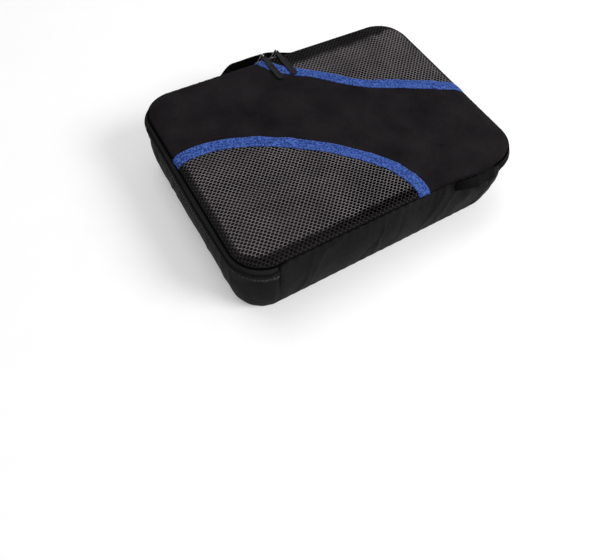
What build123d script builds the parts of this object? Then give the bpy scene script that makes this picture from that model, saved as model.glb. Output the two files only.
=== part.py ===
"""Packing cube: a soft zipped case with a lid that opens about its front seam.

Millimetres, +Z up, +X along the long side, +Y from the hinge seam to the zipped back.
The origin is the centre of the underside. Walls, tapes and coils are profiles drawn as
(distance outside the seam line, height) and swept round the plan of the lid's seam.
"""
from build123d import *
from math import atan2, ceil, cos, hypot, radians, sin
import os

# ---- the case ----
LENGTH = 280.0                 # lid seam, left to right
DEPTH = 206.0                  # lid seam, front to back
CORNER = 28.0                  # plan radius of the seam's corners
SEAM_Z = 65.0                  # height of the lid seam
CLOTH = 1.0                    # doubled nylon, and the foam-backed lid
WALL_TOP = 49.5                # fold where the side wall meets the zip tape
FOOT = 1.0                     # upright stretch of the wall beside the bottom panel
BULGE = 4.2                    # how far a filled wall swells past its foot
WALL_OUT = 4.45                # the swollen wall's widest reach outside the lid seam
TOP_FLARE = 3.0                # how far the wall's top fold stands outside the lid seam
HALF_X = LENGTH / 2
HALF_Y = DEPTH / 2
STRAIGHT_X = HALF_X - CORNER   # where the straight front and back stretches end
STRAIGHT_Y = HALF_Y - CORNER

# ---- lid ----
CROWN = 5.0                    # rise of the stuffed lid above its seam
RIM = 20.0                     # width of the rounded rim
RIBBON_WIDTH = 12.0
RIBBON_THICK = 0.8
NET_PITCH_X = 13.4
NET_PITCH_Y = 11.6
NET_THREAD = 1.7
NET_SEAM = 9.0                 # plain edge of the net under a ribbon and at the seam

# ---- zip ----
ZIP_Z = 57.0                   # level of the closed zip
TAPE = 0.8
TAPE_OUT = 3.2                 # outer face of the zip tape, outside the lid seam
COIL = 1.8                     # height of one coil on its tape
COIL_DEPTH = 1.7
COIL_GAP = 1.2                 # opening between the two coils for the slider's neck
ZIP_END_GAP = 0.4              # the lid's half of the zip stops short of the front wall
SLIDER_LENGTH = 11.0
SLIDER_HEIGHT = 7.0
SLIDER_TAIL = 5.2
SLIDER_PLATE = 1.1
SLIDER_MEET = -4.9             # where the two closed sliders meet on the back
SLIDER_X = 7.4                 # each slider's distance from there
SHOULDER = 3.0                 # length of the plate's tapered nose
SHOULDER_DROP = 1.4
PLATE_ROUND = 0.9
PLATE_CHAMFER = 0.35
PLATE_CLEAR = 0.25             # outer plate off the coils
INNER_PLATE = (1.0, 2.0)       # inner plate, distances outside the lid seam
NECK = 0.8
NECK_X = (0.6, 1.8, 3.6, 4.8)  # stations of the neck, back from the nose
CROWN_ROD = 0.7                # radius of the slider's bridge
BRIDGE_OUT = 10.4              # bridge centre, outside the lid seam
BRIDGE_Z = ZIP_Z + 1.5
BRIDGE_HALF = 4.0              # from the slider's middle to the bridge's foot
BRIDGE_BEND = 1.6
RING_WIRE = 0.5
RING_BEND = 1.5                # centre-line radius of the ring's ends
RING_Y = -8.0                  # ring at rest: run from the bridge to the tab's bar
RING_Z = 12.5
TAB_LENGTH = 38.0
TAB_WIDTH = 5.8
TAB_NECK = 4.4
TAB_GRIP = (11.0, 14.5)        # the neck widens into the grip between these lengths
TAB_THICK = 1.2
TAB_EYE = 3.2                  # length of the ring's eye, behind the bar
TAB_SUNK = 0.3                 # depth of the panel in each face of the grip
TAB_BORDER = 1.5               # rim left round that panel
TAB_ROUND = 2.2
TAB_LIE = 178.0                # direction of the tab at rest, from +Y towards +Z

# ---- handle, tag, bindings ----
HANDLE_X = -5.0                # middle of the handle along the back
HANDLE_Z = 41.5                # middle of the webbing where it is sewn
HANDLE_WIDTH = 16.0
HANDLE_THICK = 1.6
HANDLE_HALF = 59.0             # from the middle to where the webbing leaves the wall
HANDLE_SEWN = 9.0              # length sewn flat at each end
HANDLE_CUT = 45.0              # where the swinging bow starts
HANDLE_BOW = ((53.0, 5.5), (45.0, 11.8), (32.0, 14.6), (0.0, 15.0))  # (from the middle, out)
HANDLE_LIFT = 7.0              # the bow stands up by this much over its middle
HANDLE_RISE = (51.0, 46.0, 42.0, 37.0)   # where it starts to rise, and where it is level
HANDLE_GAP = 0.3
TAG_X = (62.5, 86.5)
TAG_Z = (51.0, 62.3)
BINDING = 8.0                  # width of the bound seams inside
BINDING_THICK = 0.8

# ---- construction ----
FRONT_TOP = SEAM_Z - CLOTH - 0.3   # the front wall stops under the lid cloth's turned edge
SPAN = 24.0                    # wide enough to take in the thickness of any wall
ROOM = 100.0                   # large enough to take in the whole handle

FRONT_LEFT = Plane((-STRAIGHT_X, -HALF_Y, 0), x_dir=(0, -1, 0), z_dir=(-1, 0, 0))
BACK_Y = HALF_Y                # the back's seam line


# ---------------------------------------------------------------- helpers
def seam_path(closed=False):
    """Plan of the lid seam, from the front left corner round the back to the front right."""
    arc = CORNER * (1 - cos(radians(45)))
    left, right = -HALF_X, HALF_X
    edges = [
        ThreePointArc((-STRAIGHT_X, -HALF_Y), (left + arc, -HALF_Y + arc), (left, -STRAIGHT_Y)),
        Line((left, -STRAIGHT_Y), (left, STRAIGHT_Y)),
        ThreePointArc((left, STRAIGHT_Y), (left + arc, HALF_Y - arc), (-STRAIGHT_X, HALF_Y)),
        Line((-STRAIGHT_X, HALF_Y), (STRAIGHT_X, HALF_Y)),
        ThreePointArc((STRAIGHT_X, HALF_Y), (right - arc, HALF_Y - arc), (right, STRAIGHT_Y)),
        Line((right, STRAIGHT_Y), (right, -STRAIGHT_Y)),
        ThreePointArc((right, -STRAIGHT_Y), (right - arc, -HALF_Y + arc), (STRAIGHT_X, -HALF_Y)),
    ]
    if closed:
        edges.append(Line((STRAIGHT_X, -HALF_Y), (-STRAIGHT_X, -HALF_Y)))
    return Wire(edges)


def round_the_seam(profile, closed=False):
    """Sweep an (outside, height) profile round the seam line."""
    return sweep(FRONT_LEFT * profile, path=seam_path(closed))


def clear_of_front(solid):
    """Stop the lid's half of the zip just short of the front wall's side seams."""
    width = 2 * (STRAIGHT_X + ZIP_END_GAP)
    return solid - Pos(0, -HALF_Y, SEAM_Z) * Box(width, 2 * CORNER, 3 * CORNER)


def along_front(profile, x_from, x_to):
    """Extrude an (outside, height) profile along the straight front seam."""
    start = Plane((x_from, -HALF_Y, 0), x_dir=(0, -1, 0), z_dir=(-1, 0, 0))
    return extrude(start * profile, amount=-(x_to - x_from))


def rounded_prism(inset, z_from, z_to):
    """Upright block with the seam's plan, drawn in by inset."""
    plan = RectangleRounded(LENGTH - 2 * inset, DEPTH - 2 * inset, CORNER - inset)
    return extrude(Pos(0, 0, z_from) * plan, amount=z_to - z_from)


def wall_profile(top, top_out, outer=0.0, inner=-CLOTH):
    """Swollen wall: an upright foot, then one long arc."""
    middle = (BULGE + outer, 0.5 * top)
    outside = Line((outer, 0), (outer, FOOT)) + ThreePointArc(
        (outer, FOOT), middle, (top_out + outer, top))
    inside = ThreePointArc(
        (top_out + inner, top), (BULGE + inner, 0.5 * top), (inner, FOOT)) + Line(
        (inner, FOOT), (inner, 0))
    close = [Line((top_out + outer, top), (top_out + inner, top)), Line((inner, 0), (outer, 0))]
    return make_face(Wire([*outside.edges(), close[0], *inside.edges(), close[1]]))


def band(curve, width, stations=9):
    """Flat strip of even width along a plan curve."""
    left = []
    right = []
    for i in range(stations):
        t = i / (stations - 1)
        point = curve @ t
        along = (curve % t).normalized()
        across = Vector(-along.Y, along.X, 0) * (width / 2)
        left.append(point + across)
        right.append(point - across)
    sides = [Spline(*left), Spline(*right)]
    ends = [Line(left[0], right[0]), Line(left[-1], right[-1])]
    return make_face(Wire([sides[0], ends[1], sides[1], ends[0]]))


# ---------------------------------------------------------------- body of the case
def bottom_panel():
    return rounded_prism(CLOTH, 0, CLOTH)


def front_wall():
    return along_front(wall_profile(FRONT_TOP, 0.0), -STRAIGHT_X, STRAIGHT_X)


def gusset_wall():
    return round_the_seam(wall_profile(WALL_TOP, TOP_FLARE))


def base_binding():
    """Bound seam allowance round the inside of the bottom."""
    gusset_part = wall_profile(WALL_TOP, TOP_FLARE, -CLOTH, -CLOTH - BINDING_THICK)
    keep = Pos(0, CLOTH + BINDING / 2) * Rectangle(SPAN, BINDING)
    ring = round_the_seam(gusset_part & keep)
    front_part = wall_profile(FRONT_TOP, 0.0, -CLOTH, -CLOTH - BINDING_THICK)
    return ring + along_front(front_part & keep, -STRAIGHT_X, STRAIGHT_X)


def seam_binding(side):
    """Bound upright seam where the zip ends, folded against the front wall."""
    strip = wall_profile(FRONT_TOP, 0.0, -CLOTH, -CLOTH - BINDING_THICK)
    low = CLOTH + BINDING + 0.2
    high = ZIP_Z - 2.0
    keep = Pos(0, (low + high) / 2) * Rectangle(SPAN, high - low)
    x_from = STRAIGHT_X - BINDING if side > 0 else -STRAIGHT_X
    return along_front(strip & keep, x_from, x_from + BINDING)


def side_tag():
    """Folded woven label caught in the front seam, left blank."""
    slope = wall_profile(FRONT_TOP, 0.0, BINDING_THICK + 0.2, 0.0)
    keep = Pos(0, sum(TAG_Z) / 2) * Rectangle(SPAN, TAG_Z[1] - TAG_Z[0])
    return along_front(slope & keep, *TAG_X)


# ---------------------------------------------------------------- zip
def zip_tape_lower():
    top = ZIP_Z - COIL_GAP / 2 - 0.2
    profile = Polygon(
        (TOP_FLARE, WALL_TOP),
        (TAPE_OUT, WALL_TOP + 2),
        (TAPE_OUT, top),
        (TAPE_OUT - TAPE, top),
        (TAPE_OUT - TAPE, WALL_TOP + 2),
        (TOP_FLARE - TAPE, WALL_TOP),
        align=None,
    )
    return round_the_seam(profile)


def zip_tape_upper():
    bottom = ZIP_Z + COIL_GAP / 2
    shoulder = SEAM_Z - 3.0
    profile = Polygon(
        (0, SEAM_Z),
        (1.2, SEAM_Z - 0.6),
        (TAPE_OUT, shoulder),
        (TAPE_OUT, bottom),
        (TAPE_OUT - TAPE, bottom),
        (TAPE_OUT - TAPE, shoulder - 0.3),
        (0.7, SEAM_Z - CLOTH - 0.4),
        (0, SEAM_Z - CLOTH),
        align=None,
    )
    return clear_of_front(round_the_seam(profile))


def coil_profile(level):
    """Half-round bead with a flat back on the tape."""
    flat = COIL_DEPTH - COIL / 2
    back = Pos(TAPE_OUT + flat / 2, level) * Rectangle(flat, COIL)
    nose = Pos(TAPE_OUT + flat, level) * Circle(COIL / 2)
    return back + (nose & Pos(TAPE_OUT + flat + COIL, level) * Rectangle(2 * COIL, 2 * COIL))


def zip_coil_lower():
    return round_the_seam(coil_profile(ZIP_Z - (COIL_GAP + COIL) / 2))


def zip_coil_upper():
    return clear_of_front(round_the_seam(coil_profile(ZIP_Z + (COIL_GAP + COIL) / 2)))


BACK = Plane((0, BACK_Y, ZIP_Z), x_dir=(1, 0, 0), z_dir=(0, -1, 0))


def slider_place(side):
    return SLIDER_MEET + side * SLIDER_X


def slider_plate(out_from, thick, facing):
    """Shield-shaped plate: broad shoulders at the open end, a narrow tail behind."""
    nose = facing * SLIDER_LENGTH / 2
    half = SLIDER_HEIGHT / 2
    shield = make_face(Polyline(
        (nose, half - SHOULDER_DROP),
        (nose - facing * SHOULDER, half),
        (-nose, SLIDER_TAIL / 2),
        (-nose, -SLIDER_TAIL / 2),
        (nose - facing * SHOULDER, -half),
        (nose, SHOULDER_DROP - half),
        close=True,
    ))
    shield = fillet(shield.vertices(), PLATE_ROUND)
    return extrude(BACK.offset(-out_from) * shield, amount=-thick)


def slider(side):
    """Two plates, the neck that parts the coils and the bridge that holds the ring."""
    facing = -side
    plate_out = TAPE_OUT + COIL_DEPTH + PLATE_CLEAR
    outer = slider_plate(plate_out, SLIDER_PLATE, facing)
    outer = chamfer(outer.faces().sort_by(Axis.Y)[-1].edges(), PLATE_CHAMFER)
    inner = slider_plate(INNER_PLATE[0], INNER_PLATE[1] - INNER_PLATE[0], facing)
    tip, wide, narrowing, heel = [facing * (SLIDER_LENGTH / 2 - back) for back in NECK_X]
    neck_plan = make_face(Polyline(
        (tip, 0.0),
        (wide, NECK / 2),
        (narrowing, NECK / 2),
        (heel, 0.0),
        (narrowing, -NECK / 2),
        (wide, -NECK / 2),
        close=True,
    ))
    neck_from = INNER_PLATE[1] - 0.1
    neck = extrude(BACK.offset(-neck_from) * neck_plan, amount=-(plate_out + 0.1 - neck_from))
    foot = BACK_Y + plate_out + SLIDER_PLATE / 2
    crown = BACK_Y + BRIDGE_OUT
    arch = FilletPolyline(
        (-BRIDGE_HALF, foot, BRIDGE_Z),
        (-BRIDGE_HALF, crown, BRIDGE_Z),
        (BRIDGE_HALF, crown, BRIDGE_Z),
        (BRIDGE_HALF, foot, BRIDGE_Z),
        radius=BRIDGE_BEND,
    )
    start = Plane((-BRIDGE_HALF, foot, BRIDGE_Z), z_dir=(0, 1, 0))
    bridge = sweep(start * Circle(CROWN_ROD), path=arch)
    return Pos(slider_place(side), 0, 0) * (outer + inner + neck + bridge)


def pull_ring(side):
    """Wire loop from the slider's bridge over the lid's edge to the tab."""
    run = hypot(RING_Y, RING_Z)
    plane = Plane(
        (slider_place(side), BACK_Y + BRIDGE_OUT, BRIDGE_Z),
        x_dir=(0, RING_Y, RING_Z),
        z_dir=(1, 0, 0),
    )
    loop = Wire([
        Line((0, RING_BEND), (run, RING_BEND)),
        ThreePointArc((run, RING_BEND), (run + RING_BEND, 0), (run, -RING_BEND)),
        Line((run, -RING_BEND), (0, -RING_BEND)),
        ThreePointArc((0, -RING_BEND), (-RING_BEND, 0), (0, RING_BEND)),
    ])
    wire = sweep(Plane((0, RING_BEND, 0), z_dir=(1, 0, 0)) * Circle(RING_WIRE), path=loop)
    return plane.location * wire


def pull_tab(side):
    """Moulded grip: a bar for the ring, a waisted neck and a sunk panel each side."""
    half = TAB_WIDTH / 2
    slim = TAB_NECK / 2
    bar = TAB_THICK / 2
    end = TAB_LENGTH - bar
    outline = make_face(Polyline(
        (-bar, slim),
        (TAB_GRIP[0], slim),
        (TAB_GRIP[1], half),
        (end, half),
        (end, -half),
        (TAB_GRIP[1], -half),
        (TAB_GRIP[0], -slim),
        (-bar, -slim),
        close=True,
    ))
    outline = fillet(outline.vertices().filter_by(lambda v: v.X > end - 1), TAB_ROUND)
    outline = fillet(outline.vertices().filter_by(lambda v: v.X < 0), 1.0)
    blank = Pos(0, 0, -bar) * extrude(outline, amount=TAB_THICK)
    eye = Pos(bar + TAB_EYE / 2, 0, 0) * Box(TAB_EYE, TAB_NECK - 2.2, 2 * TAB_THICK)
    panel_from = TAB_GRIP[1] + TAB_BORDER
    panel_to = end - TAB_BORDER
    panel = SlotOverall(panel_to - panel_from, TAB_WIDTH - 2 * TAB_BORDER)
    grip = Pos((panel_from + panel_to) / 2, 0) * extrude(panel, amount=TAB_SUNK)
    blank = blank - eye
    blank = blank - Pos(0, 0, bar - TAB_SUNK) * grip - Pos(0, 0, -bar) * grip
    place = Plane(
        (slider_place(side), BACK_Y + BRIDGE_OUT + RING_Y, BRIDGE_Z + RING_Z),
        x_dir=(0, cos(radians(TAB_LIE)), sin(radians(TAB_LIE))),
        z_dir=(0, -sin(radians(TAB_LIE)), cos(radians(TAB_LIE))),
    )
    return place.location * blank


# ---------------------------------------------------------------- lid
def lid_skin(lift=0.0, thick=CLOTH):
    """Pillowed lid cloth: a level middle and a rim rounded down to the seam."""
    radius = (RIM ** 2 + CROWN ** 2) / (2 * CROWN)
    half_turn = 0.5 * atan2(RIM, radius - CROWN)
    mid = (-RIM + radius * sin(half_turn), CROWN - radius * (1 - cos(half_turn)))
    top = SEAM_Z + lift
    low = top - thick
    outer = ThreePointArc((0, top), (mid[0], top + mid[1]), (-RIM, top + CROWN))
    inner = ThreePointArc((-RIM, low + CROWN), (mid[0], low + mid[1]), (0, low))
    sides = [Line((-RIM, top + CROWN), (-RIM, low + CROWN)), Line((0, low), (0, top))]
    rim = round_the_seam(make_face(Wire([outer, sides[0], inner, sides[1]])), closed=True)
    return rim + rounded_prism(RIM, low + CROWN, top + CROWN)


def front_ribbon_curve():
    """Quarter bow from the left edge to the front edge."""
    return Spline(
        (-HALF_X - 4, 22),
        (-105, 20.3),
        (-70, 7.3),
        (-35, -14.8),
        (-4, -41.5),
        (16, -65.5),
        (25.2, -88),
        (29, -HALF_Y - 4),
        tangents=((1, 0.02), (0.15, -1)),
    )


def rear_ribbon_curve():
    """Shallow S from the back edge to the right edge."""
    return Spline(
        (-20, HALF_Y + 4),
        (-8, 84.5),
        (20.5, 58.8),
        (48, 31),
        (75, 16),
        (104, 1.8),
        (HALF_X + 4, -19.5),
        tangents=((0.3, -1), (1, -0.45)),
    )


def window_area(curve, corner):
    """Plan of one net, from its ribbon's centre line out past the seam."""
    start = curve @ 0
    end = curve @ 1
    far = 60
    if corner < 0:
        turn = [(-HALF_X - far, start.Y), (-HALF_X - far, -HALF_Y - far), (end.X, -HALF_Y - far)]
    else:
        turn = [(start.X, HALF_Y + far), (HALF_X + far, HALF_Y + far), (HALF_X + far, end.Y)]
    outside = Polyline(start, *turn, end)
    return make_face(Wire([curve, *outside.edges()]))


def prism(area):
    return extrude(Pos(0, 0, SEAM_Z - 10) * area, amount=30)


def inside_seam(x, y, margin):
    """True where a point lies inside the seam's plan by at least margin."""
    dx = max(abs(x) - STRAIGHT_X, 0)
    dy = max(abs(y) - STRAIGHT_Y, 0)
    return hypot(dx, dy) < CORNER - margin


def net_gaps(curve, corner):
    """Diamond gaps in staggered rows, clear of the ribbon and the seam."""
    line = [curve @ (i / 60) for i in range(61)]
    gap = Polygon(
        (NET_PITCH_X / 2 - NET_THREAD, 0),
        (0, NET_PITCH_Y / 2 - NET_THREAD),
        (-NET_PITCH_X / 2 + NET_THREAD, 0),
        (0, -NET_PITCH_Y / 2 + NET_THREAD),
    )
    gaps = []
    rows = ceil(DEPTH / NET_PITCH_Y)
    for j in range(-rows, rows + 1):
        y = j * NET_PITCH_Y / 2
        for i in range(-12, 13):
            x = (i + 0.5 * (j % 2)) * NET_PITCH_X
            nearest = min(line, key=lambda p: hypot(p.X - x, p.Y - y))
            clear = hypot(nearest.X - x, nearest.Y - y) > NET_SEAM + NET_PITCH_Y / 2
            outward = (x - nearest.X + y - nearest.Y) * corner > 0
            if clear and outward and inside_seam(x, y, NET_SEAM):
                gaps.append(Pos(x, y) * gap)
    return gaps


def lid_mesh(skin, curve, corner):
    net = skin & prism(window_area(curve, corner))
    gaps = net_gaps(curve, corner)
    print("net gaps", len(gaps))
    holes = [extrude(Pos(0, 0, SEAM_Z - 10) * gap, amount=30) for gap in gaps]
    return net - holes


def lid_centre_panel(skin):
    front = prism(window_area(front_ribbon_curve(), -1))
    rear = prism(window_area(rear_ribbon_curve(), 1))
    return skin - front - rear


def lid_ribbon(curve):
    raised = lid_skin(RIBBON_THICK, RIBBON_THICK)
    return raised & prism(band(curve, RIBBON_WIDTH))


def lid_binding(skin):
    """Bound seam allowance inside the lid, hanging below its seam."""
    out = -1.4
    low = ZIP_Z + 0.2
    strip = Pos(out - BINDING_THICK / 2, (low + SEAM_Z) / 2) * Rectangle(
        BINDING_THICK, SEAM_Z - low)
    ring = round_the_seam(strip, closed=True) - skin
    return ring.solids().sort_by(SortBy.VOLUME)[-1]


# ---------------------------------------------------------------- handle
def mirrored(stations):
    """(x, y) stations given for +X, from the outside in, carried on across the middle."""
    left = [(-x, y) for x, y in stations]
    return left + [(x, y) for x, y in reversed(stations) if x > 0]


def webbing_plan():
    """Seen from above: sewn flat at both ends, bowed out between."""
    wall = BACK_Y + WALL_OUT + HANDLE_THICK / 2
    stations = [(HANDLE_HALF, 0.0), *HANDLE_BOW]
    bow = Spline(*[(x, wall + out) for x, out in mirrored(stations)], tangents=((1, 0), (1, 0)))
    plan = band(bow, HANDLE_THICK, 25)
    middle = HANDLE_HALF + HANDLE_SEWN / 2
    for x in (-middle, middle):
        plan = plan + Pos(x, wall) * Rectangle(HANDLE_SEWN, HANDLE_THICK)
    return plan


def webbing_front():
    """Seen from behind: level at the sewn ends, standing up over the middle."""
    reach = HANDLE_HALF + HANDLE_SEWN + 1
    start, low, high, level = HANDLE_RISE
    lifts = [(reach, 0.0), (start, 0.0), (low, 0.25), (high, 0.75), (level, 1.0), (0.0, 1.0)]
    edges = []
    for edge in (-HANDLE_WIDTH / 2, HANDLE_WIDTH / 2):
        line = [(x, HANDLE_Z + edge + HANDLE_LIFT * lift) for x, lift in mirrored(lifts)]
        edges.append(Polyline(*line))
    ends = [Line(edges[0] @ t, edges[1] @ t) for t in (0, 1)]
    return make_face(Wire([*edges[0].edges(), ends[1], *edges[1].edges(), ends[0]]))


def webbing():
    """Webbing bow on the back, made where its plan and its elevation meet."""
    bow = extrude(webbing_plan(), amount=ROOM)
    upright = Plane((0, BACK_Y, 0), x_dir=(1, 0, 0), z_dir=(0, -1, 0))
    return Pos(HANDLE_X) * (bow & extrude(upright * webbing_front(), amount=-ROOM))


def handle_root(side):
    middle = HANDLE_X + side * (HANDLE_CUT + ROOM / 2)
    keep = Pos(middle, BACK_Y, HANDLE_Z) * Box(ROOM, ROOM, ROOM)
    return webbing() & keep


def handle_strap():
    width = 2 * (HANDLE_CUT - HANDLE_GAP)
    return webbing() & Pos(HANDLE_X, BACK_Y, HANDLE_Z) * Box(width, ROOM, ROOM)


def main():
    os.makedirs("parts", exist_ok=True)
    skin = lid_skin()
    parts = {
        "bottom_panel": bottom_panel(),
        "front_wall": front_wall(),
        "gusset_wall": gusset_wall(),
        "base_binding": base_binding(),
        "seam_binding_left": seam_binding(-1),
        "seam_binding_right": seam_binding(1),
        "side_tag": side_tag(),
        "zip_tape_lower": zip_tape_lower(),
        "zip_coil_lower": zip_coil_lower(),
        "handle_root_left": handle_root(-1),
        "handle_root_right": handle_root(1),
        "handle_strap": handle_strap(),
        "lid_centre_panel": lid_centre_panel(skin),
        "lid_mesh_front": lid_mesh(skin, front_ribbon_curve(), -1),
        "lid_mesh_rear": lid_mesh(skin, rear_ribbon_curve(), 1),
        "lid_ribbon_front": lid_ribbon(front_ribbon_curve()),
        "lid_ribbon_rear": lid_ribbon(rear_ribbon_curve()),
        "lid_binding": lid_binding(skin),
        "zip_tape_upper": zip_tape_upper(),
        "zip_coil_upper": zip_coil_upper(),
        "slider_left": slider(-1),
        "slider_right": slider(1),
        "pull_ring_left": pull_ring(-1),
        "pull_ring_right": pull_ring(1),
        "pull_tab_left": pull_tab(-1),
        "pull_tab_right": pull_tab(1),
    }
    for name, shape in parts.items():
        export_step(shape, f"parts/{name}.step")


main()
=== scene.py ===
from math import cos, exp, hypot, pi, radians, sin, sqrt

import bpy
from mathutils import Matrix, Vector, noise


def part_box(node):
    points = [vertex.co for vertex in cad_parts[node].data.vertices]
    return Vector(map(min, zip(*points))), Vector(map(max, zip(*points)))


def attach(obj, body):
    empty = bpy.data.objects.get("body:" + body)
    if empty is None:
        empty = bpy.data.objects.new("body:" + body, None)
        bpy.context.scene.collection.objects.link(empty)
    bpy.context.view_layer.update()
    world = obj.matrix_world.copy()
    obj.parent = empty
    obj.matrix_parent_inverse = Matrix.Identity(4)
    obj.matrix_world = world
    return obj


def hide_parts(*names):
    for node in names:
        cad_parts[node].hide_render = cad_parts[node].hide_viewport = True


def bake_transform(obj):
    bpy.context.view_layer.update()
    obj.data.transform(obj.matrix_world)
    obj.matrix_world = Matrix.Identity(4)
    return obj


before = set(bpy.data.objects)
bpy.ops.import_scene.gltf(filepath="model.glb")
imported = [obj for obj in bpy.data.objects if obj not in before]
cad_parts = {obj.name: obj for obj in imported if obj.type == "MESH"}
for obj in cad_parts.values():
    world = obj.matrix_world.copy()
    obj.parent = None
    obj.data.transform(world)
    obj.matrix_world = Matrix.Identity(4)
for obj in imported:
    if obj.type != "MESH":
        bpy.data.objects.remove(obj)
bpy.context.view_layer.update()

# Lengths below are in millimetres in the row frame; add_mesh turns them into metres.
# s is the distance round the lid seam from the left end of the straight front, clockwise seen
# from above: the left side, the back and the right side, where the zip runs, then the front.
MM = 0.001


def mm_box(node):
    """Lowest and highest corner of a solid, in millimetres."""
    low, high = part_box(node)
    return low / MM, high / MM


# ---- sizes taken from the frame ----
LID_LOW, LID_HIGH = mm_box("lid_centre_panel")
HALF_X = LID_HIGH.x
HALF_Y = LID_HIGH.y
CLOTH = 1.0            # thickness of the solids' cloth
SEAM_Z = LID_LOW.z + CLOTH
WALL_TOP = mm_box("gusset_wall")[1].z
STRAIGHT_X = mm_box("front_wall")[1].x
CORNER = HALF_X - STRAIGHT_X
STRAIGHT_Y = HALF_Y - CORNER
COIL_TOP = mm_box("zip_coil_upper")[1].z
COIL_LOW = mm_box("zip_coil_lower")[0].z
ZIP_Z = (COIL_TOP + COIL_LOW) / 2
TAG_LOW, TAG_HIGH = mm_box("side_tag")
STRAP_LOW, STRAP_HIGH = mm_box("handle_strap")
ROOT_LOW, ROOT_HIGH = mm_box("handle_root_right")
TABS = [mm_box("pull_tab_left"), mm_box("pull_tab_right")]
TAB_X = [(low.x + high.x) / 2 for low, high in TABS]
TAB_LOW, TAB_HIGH = TABS[0]

# ---- stuffed lid ----
RIM = 15.0             # the lid drops to its seam over this width
RIM_RISE = 6.2
DOME = 1.4
LID_FLAT = 22.0        # the dome, waves and folds are whole this far inside the seam
TRAVEL = 88.0          # each slider's way along the back
PRESS = 1.15           # the pulls hold the lid this far under their lower faces,
PRESS_SLOPE = 0.035    # and let it rise at this slope towards their far ends
LID_CLOTH = 0.7

# ---- walls and bottom ----
BULGE = 4.2            # swell of the walls
FLARE = 3.0            # top fold of the side wall, outside the lid seam
SWELL = 1.7            # the filled sides bow out between the corners
TIGHT = 1.0            # and are drawn in at the front corners
GROOVE = 1.3           # depth of the upright seams
WALL_CLOTH = 0.6
PROFILE_STEP = 1.5     # mean distance between a profile's points, for the weave's scale
BOTTOM_CLOTH = 0.5
BOTTOM_MARGIN = 1.6    # the bottom cloth ends this far inside the lid seam's plan

# ---- front seam and the fold beside the label ----
SAG = 2.6              # the seam sinks and comes forward by this much where it droops most
DROOP_X = 94.0
DROOP_WIDTH = 22.0
DROOP_DEPTH = 14.0
SAG_FOOT = 40.0        # the wall is drawn down with the seam above this height,
SAG_SPAN = 24.0        # wholly so this much higher
FOLD_X = 92.0
FOLD_HALF = 25.0       # half of the fold's length
FOLD_Z = 56.0          # the fold's height at x = FOLD_LEVEL_X; it slopes down to the corner
FOLD_LEVEL_X = 90.0
FOLD_SLOPE = 0.04
FOLD_RIDGE = 4.6       # the fold stands out this far,
FOLD_HOLLOW = 1.5      # and the wall under it falls in this far

# ---- zip ----
TAPE_OUT = 3.2         # outer face of the zip tape
TAPE_END = 0.3         # the tapes and coils stop this far from the upright seams
COIL_END = 0.4
TAPE_CLOTH = 0.5
TOOTH_PITCH = 1.35
TOOTH_HALF = 1.3       # half the height of a coil's turn,
TOOTH_DEPTH = 0.62     # and half its depth
COIL_OUT = 0.95        # the coils' middle lies this far outside the tape,
COIL_APART = 1.15      # and this far above or below the zip's middle
COIL_WIRE = 0.34
TUCK = 1.9             # the zip is drawn in by this much at the upright seams

# ---- nets ----
NET_X = 4.1            # cells: across, and from row to row
NET_Y = 2.05
NET_BAR = 0.12         # half of the short upright where two yarns run together
NET_THREAD = 0.34
NET_SUNK = 0.3         # the yarn lies this far under the lid cloth's face
NET_MARGIN = 0.3       # and ends this far inside the lid seam
NET_UNDER = 1.5        # net and lid cloth each reach this far past a ribbon's middle line
SIDE_SHADE = 5.0       # painted shade darkens the net over this width of the rim at the sides,
FRONT_SHADE = 9.0      # in front
BACK_SHADE = 20.0      # and at the back

# ---- ribbons ----
RIBBON = 11.2
RIBBON_LIFT = 0.75     # face of the ribbon over the lid cloth
BACKING = 9.0
BACKING_LIFT = -1.3
BAND_CLOTH = 0.4
EDGE_DROP = 0.45       # a band's edges lie this much lower than its middle
FRONT_CURVE = [(-144, 22), (-105, 20.3), (-70, 7.3), (-35, -14.8), (-4, -41.5), (16, -65.5),
               (25.2, -88), (29, -107)]
REAR_CURVE = [(-20, 107), (-8, 84.5), (20.5, 58.8), (48, 31), (75, 16), (104, 1.8), (144, -19.5)]
CURVE_STEPS = 36       # points along a band from knot to knot

# ---- seam bindings and cord ----
BINDING_CLOTH = 0.5
UPRIGHT_CLOTH = 0.6
UPRIGHT_WIDTH = 8.0    # the binding of an upright seam reaches this far from it
PIPING_RADIUS = 1.15
WELT_RADIUS = 0.9

# ---- thread ----
STITCH = 2.0
STITCH_PITCH = 3.1
RIBBON_STITCH = {"pitch": 2.6, "length": 1.7, "width": 0.4}
LID_STITCH = {"pitch": 3.0, "length": 1.9, "width": 0.42}
BOX_STITCH = {"pitch": 2.2, "length": 1.5, "width": 0.4}
RIBBON_SEAM = 1.2      # stitches lie this far inside the ribbon's edges,
LID_SEAM = 2.4         # this far inside the lid seam
RIBBON_CLEAR = 5.0     # and stop this far from the ribbons' middle lines

# ---- handle ----
STRAP_HALF = 8.0       # half the width of the webbing
STRAP_THICK = 1.4
STRAP_STEP = 1.33
STRAP_WALL = ROOT_LOW.y + 0.8
STRAP_MID = (STRAP_LOW.x + STRAP_HIGH.x) / 2
ROOT_X = ROOT_HIGH.x - STRAP_MID
STRAP_Z = ROOT_LOW.z + STRAP_HALF
STRAP_LIFT = STRAP_HIGH.z - STRAP_HALF - STRAP_Z
STRAP_LEAN = -0.22     # the bow shifts to the left by this share of its way out
STRAP_STRETCH = 1.15   # length along the bow over its length in x, for the weave
BOW_RIGHT = [(0, 15), (16, 15), (ROOT_X - 36, 14.6), (ROOT_X - 23, 11.8), (ROOT_X - 15, 5.5),
             (ROOT_X - 9, 0), (ROOT_X - 5, 0), (ROOT_X, 0)]      # from the middle to the right

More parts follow.
